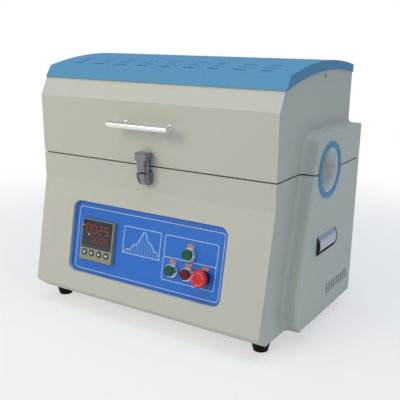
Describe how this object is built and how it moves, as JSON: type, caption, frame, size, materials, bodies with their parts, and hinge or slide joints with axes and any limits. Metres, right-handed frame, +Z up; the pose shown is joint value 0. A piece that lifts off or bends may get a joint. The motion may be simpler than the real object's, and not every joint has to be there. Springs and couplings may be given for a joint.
{
  "type": "tube furnace",
  "caption": "Bench tube furnace with a hinged split chamber lid, over-centre latch, tube ports at both ends and a leaning control panel.",
  "frame": {"origin": "on the bench under the middle of the whole furnace, at the level of the feet", "axes": "+Z up, +Y from the control panel's front to the rear panel, +X from the controller's side to the emergency stop's side"},
  "size_m": [0.6968, 0.4474, 0.5862],
  "materials": {
    "body_paint": "fine matt powder coat",
    "cap_paint": "mid blue powder coat",
    "panel_blue": "printed overlay on sheet",
    "zinc_sheet": "zinc plated sheet",
    "deck_steel": "bare stainless sheet",
    "hinge_steel": "satin",
    "fastener": "plated",
    "spring_wire": "bright wire",
    "probe_steel": "satin",
    "latch_plate": "black zinc, satin",
    "grip_metal": "satin",
    "handle_aluminium": "satin anodised",
    "sink_aluminium": "extruded",
    "bezel_chrome": "polished",
    "foot_rubber": "matt",
    "black_plastic": "moulded",
    "controller_plastic": "fine moulded",
    "display_smoke": "smoked window",
    "key_black": "soft matt",
    "green_cap": "translucent lens",
    "dark_red_cap": "translucent lens",
    "mushroom_red": "moulded",
    "terminal_green": "moulded",
    "ceramic_fibre": "vacuum formed ceramic fibre, chalky",
    "heater_alloy": "oxidised resistance wire"
  },
  "bodies": {
    "base": {"base_shell": "body_paint", "bottom_pan": "zinc_sheet", "rear_panel": "body_paint", "rear_screws": "fastener", "cable_gland": "black_plastic", "feet": "foot_rubber", "foot_screws": "fastener", "base_deck": "deck_steel", "chamber_trough": "deck_steel", "lower_insulation": "ceramic_fibre", "lower_heater": "heater_alloy", "lower_collars": "ceramic_fibre", "lower_port_rings": "cap_paint", "thermocouple": "probe_steel", "lid_buffers": "foot_rubber", "control_plate": "panel_blue", "controller_case": "controller_plastic", "controller_window": "display_smoke", "button_bezels": "bezel_chrome", "contact_blocks": "black_plastic", "estop_collar": "black_plastic", "latch_bracket": "latch_plate", "latch_pivot_pins": "fastener", "hinge_base_leaves": "hinge_steel", "hinge_pins": "fastener", "hinge_base_screws": "fastener", "grip_plates": "grip_metal", "grip_cups": "black_plastic", "din_rail": "zinc_sheet", "contactor": "controller_plastic", "terminal_block": "terminal_green", "heat_sink": "sink_aluminium", "solid_state_relay": "black_plastic"},
    "lid": {"lid_shell": "body_paint", "lid_cap": "cap_paint", "cap_brackets": "zinc_sheet", "cap_screws": "fastener", "lid_deck": "deck_steel", "upper_trough": "deck_steel", "upper_insulation": "ceramic_fibre", "upper_heater": "heater_alloy", "upper_collars": "ceramic_fibre", "upper_port_rings": "cap_paint", "handle_set": "handle_aluminium", "latch_keeper": "latch_plate", "hinge_lid_leaves": "hinge_steel", "hinge_lid_screws": "fastener"},
    "latch_lever": {"latch_lever": "latch_plate", "latch_link_pin": "fastener"},
    "latch_claw": {"latch_claw": "latch_plate", "latch_springs": "spring_wire"},
    "power_button": {"power_button": "green_cap"},
    "start_button": {"start_button": "green_cap"},
    "stop_button": {"stop_button": "dark_red_cap"},
    "estop_plunger": {"estop_plunger": "black_plastic"},
    "estop_mushroom": {"estop_mushroom": "mushroom_red"},
    "key_set": {"key_set": "key_black"},
    "key_shift": {"key_shift": "key_black"},
    "key_down": {"key_down": "key_black"},
    "key_up": {"key_up": "key_black"}
  },
  "joints": [
    {"name": "lid_open", "type": "hinge", "parent": "base", "child": "lid", "pos_m": [0, 0.20666, 0.364], "axis": [-1, 0, 0], "range_deg": [0, 80]},
    {"name": "latch_lever_turn", "type": "hinge", "parent": "base", "child": "latch_lever", "pos_m": [0, -0.18784, 0.349], "axis": [-1, 0, 0], "range_deg": [0, 110]},
    {"name": "latch_claw_turn", "type": "hinge", "parent": "latch_lever", "child": "latch_claw", "pos_m": [0, -0.18584, 0.334], "axis": [-1, 0, 0], "range_deg": [-110, 0]},
    {"name": "power_press", "type": "slide", "parent": "base", "child": "power_button", "axis": [0, 0.9792, -0.2029], "range_m": [0, 0.003], "stiffness_N_per_m": 300},
    {"name": "start_press", "type": "slide", "parent": "base", "child": "start_button", "axis": [0, 0.9792, -0.2029], "range_m": [0, 0.003], "stiffness_N_per_m": 300},
    {"name": "stop_press", "type": "slide", "parent": "base", "child": "stop_button", "axis": [0, 0.9792, -0.2029], "range_m": [0, 0.003], "stiffness_N_per_m": 300},
    {"name": "estop_press", "type": "slide", "parent": "base", "child": "estop_plunger", "axis": [0, 0.9792, -0.2029], "range_m": [0, 0.004], "stiffness_N_per_m": 300},
    {"name": "estop_twist", "type": "hinge", "parent": "estop_plunger", "child": "estop_mushroom", "pos_m": [0.16, -0.21279, 0.15182], "axis": [0, 0.9792, -0.2029], "range_deg": [0, 45], "stiffness_Nm_per_rad": 0.05},
    {"name": "key_set_press", "type": "slide", "parent": "base", "child": "key_set", "axis": [0, 0.9792, -0.2029], "range_m": [0, 0.0008], "stiffness_N_per_m": 300},
    {"name": "key_shift_press", "type": "slide", "parent": "base", "child": "key_shift", "axis": [0, 0.9792, -0.2029], "range_m": [0, 0.0008], "stiffness_N_per_m": 300},
    {"name": "key_down_press", "type": "slide", "parent": "base", "child": "key_down", "axis": [0, 0.9792, -0.2029], "range_m": [0, 0.0008], "stiffness_N_per_m": 300},
    {"name": "key_up_press", "type": "slide", "parent": "base", "child": "key_up", "axis": [0, 0.9792, -0.2029], "range_m": [0, 0.0008], "stiffness_N_per_m": 300}
  ],
  "couplings": [
    {"joint": "latch_claw_turn", "follows": "latch_lever_turn", "ratio": -1}
  ]
}
